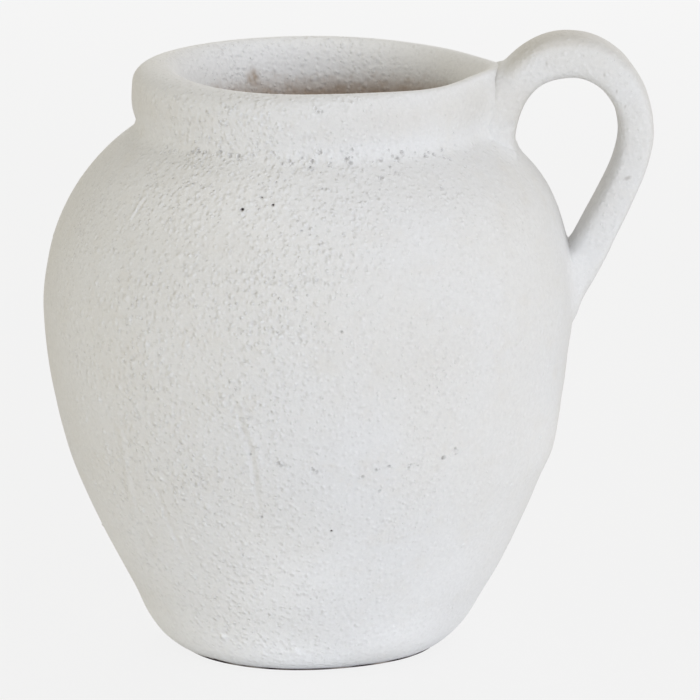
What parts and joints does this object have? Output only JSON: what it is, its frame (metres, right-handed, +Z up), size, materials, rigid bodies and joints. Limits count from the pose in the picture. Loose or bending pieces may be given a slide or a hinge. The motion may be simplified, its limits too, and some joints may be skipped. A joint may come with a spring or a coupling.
{
  "type": "jug",
  "caption": "Round-bellied earthenware jug with a rolled collar, a wide mouth set slightly towards the handle and a looped strap handle, under a chalky matte wash.",
  "frame": {"origin": "centre of the flat foot, on the surface the jug stands on", "axes": "+Z up the jug's axis, +X towards the handle"},
  "size_m": [0.2415, 0.212, 0.247],
  "materials": {
    "washed_clay": "matte chalky white wash over fired clay, pitted",
    "slip": "matte fired slip under the same wash"
  },
  "bodies": {
    "root": {"bowl": "washed_clay", "belly_slip": "slip", "shoulder": "washed_clay", "neck_slip": "slip", "collar": "washed_clay", "handle": "washed_clay", "upper_root_slip": "slip", "lower_root_slip": "slip"}
  },
  "joints": []
}
